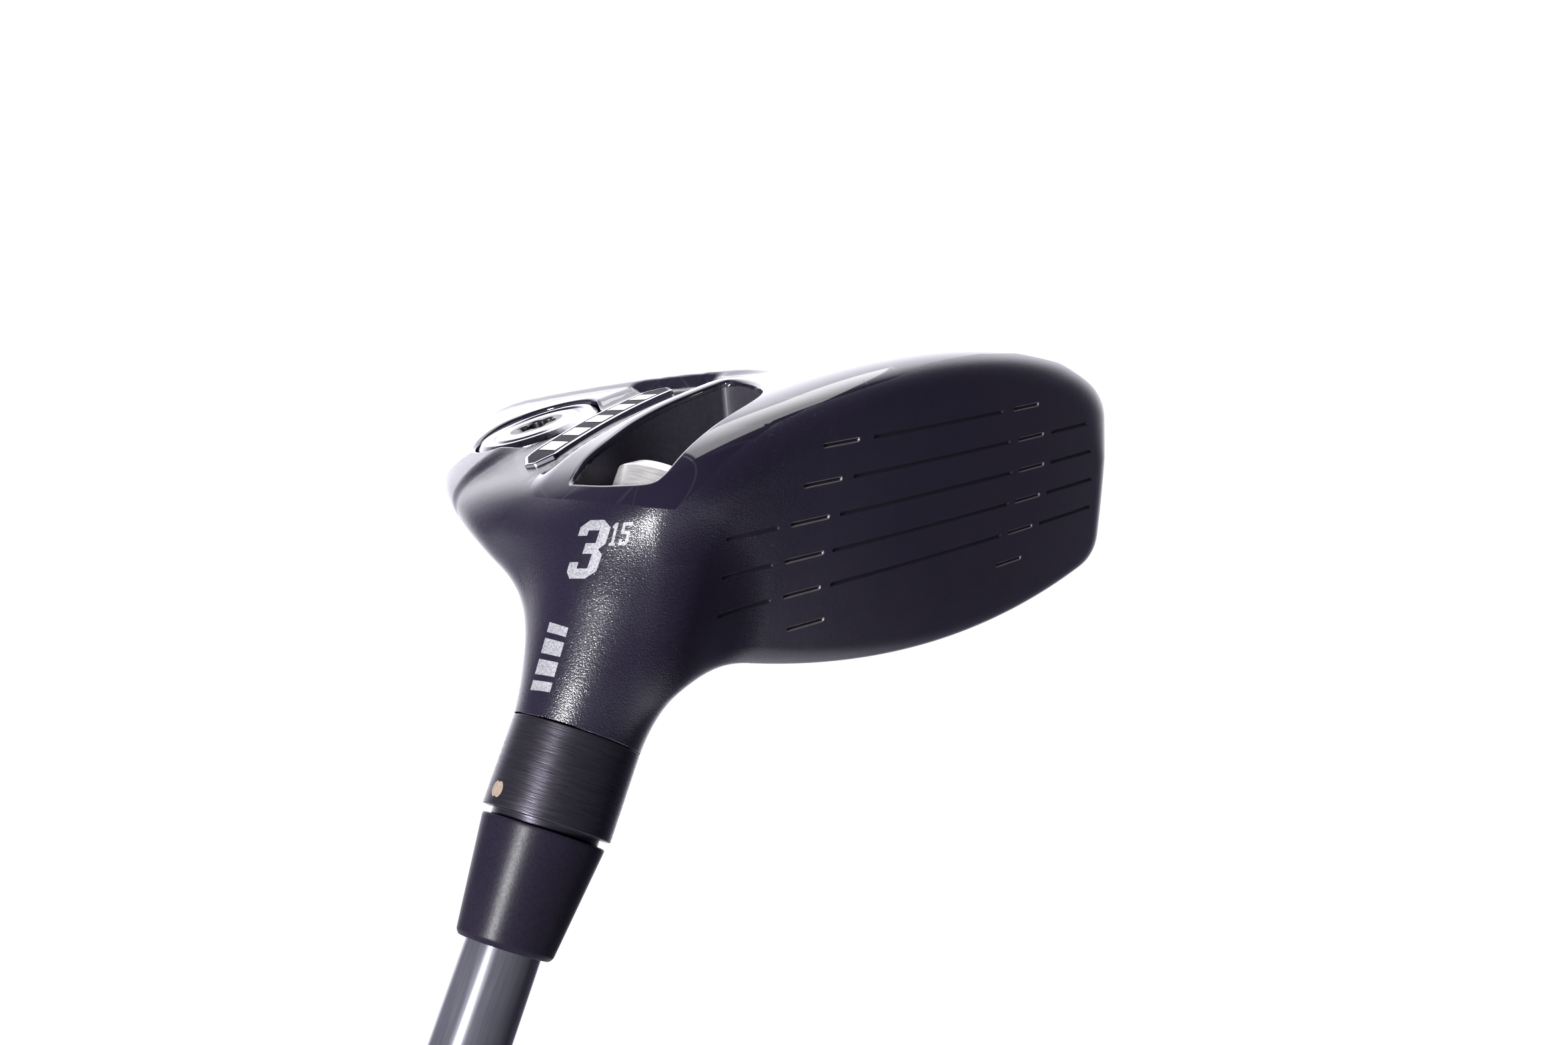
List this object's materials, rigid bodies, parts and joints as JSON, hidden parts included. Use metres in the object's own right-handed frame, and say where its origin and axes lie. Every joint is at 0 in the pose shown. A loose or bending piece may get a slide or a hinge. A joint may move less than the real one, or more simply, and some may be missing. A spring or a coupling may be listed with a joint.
{
  "type": "fairway wood",
  "caption": "Right-handed lofted golf club: hollow wood head with a screw pocket in the sole, adjustable hosel sleeve and ferrule, tapered shaft and rubber grip.",
  "frame": {"origin": "centre of the flat end of the grip, on the shaft axis", "axes": "+Z along the shaft from the grip to the head, -Y towards the target, +X towards the toe side of the head"},
  "size_m": [0.0984, 0.0824, 1.1209],
  "materials": {
    "head_body": "satin and gloss black coating",
    "face_plate": "satin black",
    "crown_shell": "gloss black over composite",
    "sole_badge": "bright edges, black field",
    "heel_weight": "polished",
    "heel_weight_seal": "matte",
    "toe_weight": "polished",
    "toe_weight_seal": "matte",
    "adapter_sleeve": "black anodised, turned",
    "index_mark": "paint fill",
    "ferrule": "satin",
    "hosel_screw": "turned",
    "screw_washer": "turned",
    "screw_retainer": "matte",
    "shaft": "cool grey gloss paint",
    "tip_plug": "matte",
    "grip_tape": "paper",
    "grip": "matte, textured"
  },
  "bodies": {
    "shaft_assembly": {"shaft": "shaft", "tip_plug": "tip_plug", "grip_tape": "grip_tape", "grip": "grip", "ferrule": "ferrule", "adapter_sleeve": "adapter_sleeve", "index_mark": "index_mark"},
    "head": {"head_body": "head_body", "face_plate": "face_plate", "crown_shell": "crown_shell", "sole_badge": "sole_badge", "screw_retainer": "screw_retainer"},
    "screw_carrier": {"screw_washer": "screw_washer"},
    "screw": {"hosel_screw": "hosel_screw"},
    "heel_carrier": {"heel_weight_seal": "heel_weight_seal"},
    "heel_screw_weight": {"heel_weight": "heel_weight"},
    "toe_carrier": {"toe_weight_seal": "toe_weight_seal"},
    "toe_screw_weight": {"toe_weight": "toe_weight"}
  },
  "joints": [
    {"name": "head_release", "type": "slide", "parent": "shaft_assembly", "child": "head", "axis": [0, 0, 1], "range_m": [0, 0.06]},
    {"name": "screw_advance", "type": "slide", "parent": "head", "child": "screw_carrier", "axis": [0, 0, 1], "range_m": [0, 0.00625]},
    {"name": "screw_turn", "type": "hinge", "parent": "screw_carrier", "child": "screw", "pos_m": [0, 0, 1.07], "axis": [0, 0, 1], "range_deg": [0, 1800]},
    {"name": "heel_weight_advance", "type": "slide", "parent": "head", "child": "heel_carrier", "axis": [-0.7246, 0.0731, 0.6852], "range_m": [0, 0.007]},
    {"name": "heel_weight_turn", "type": "hinge", "parent": "heel_carrier", "child": "heel_screw_weight", "pos_m": [0.00117, 0.03, 1.0827], "axis": [-0.7246, 0.0731, 0.6852], "range_deg": [0, 2520]},
    {"name": "toe_weight_advance", "type": "slide", "parent": "head", "child": "toe_carrier", "axis": [-0.2954, 0.0731, 0.9526], "range_m": [0, 0.007]},
    {"name": "toe_weight_turn", "type": "hinge", "parent": "toe_carrier", "child": "toe_screw_weight", "pos_m": [0.05635, 0.03, 1.11706], "axis": [-0.2954, 0.0731, 0.9526], "range_deg": [0, 2520]}
  ],
  "couplings": [
    {"joint": "screw_advance", "follows": "screw_turn", "m_per_rad": 0.00019894},
    {"joint": "heel_weight_advance", "follows": "heel_weight_turn", "m_per_rad": 0.00015915},
    {"joint": "toe_weight_advance", "follows": "toe_weight_turn", "m_per_rad": 0.00015915}
  ]
}
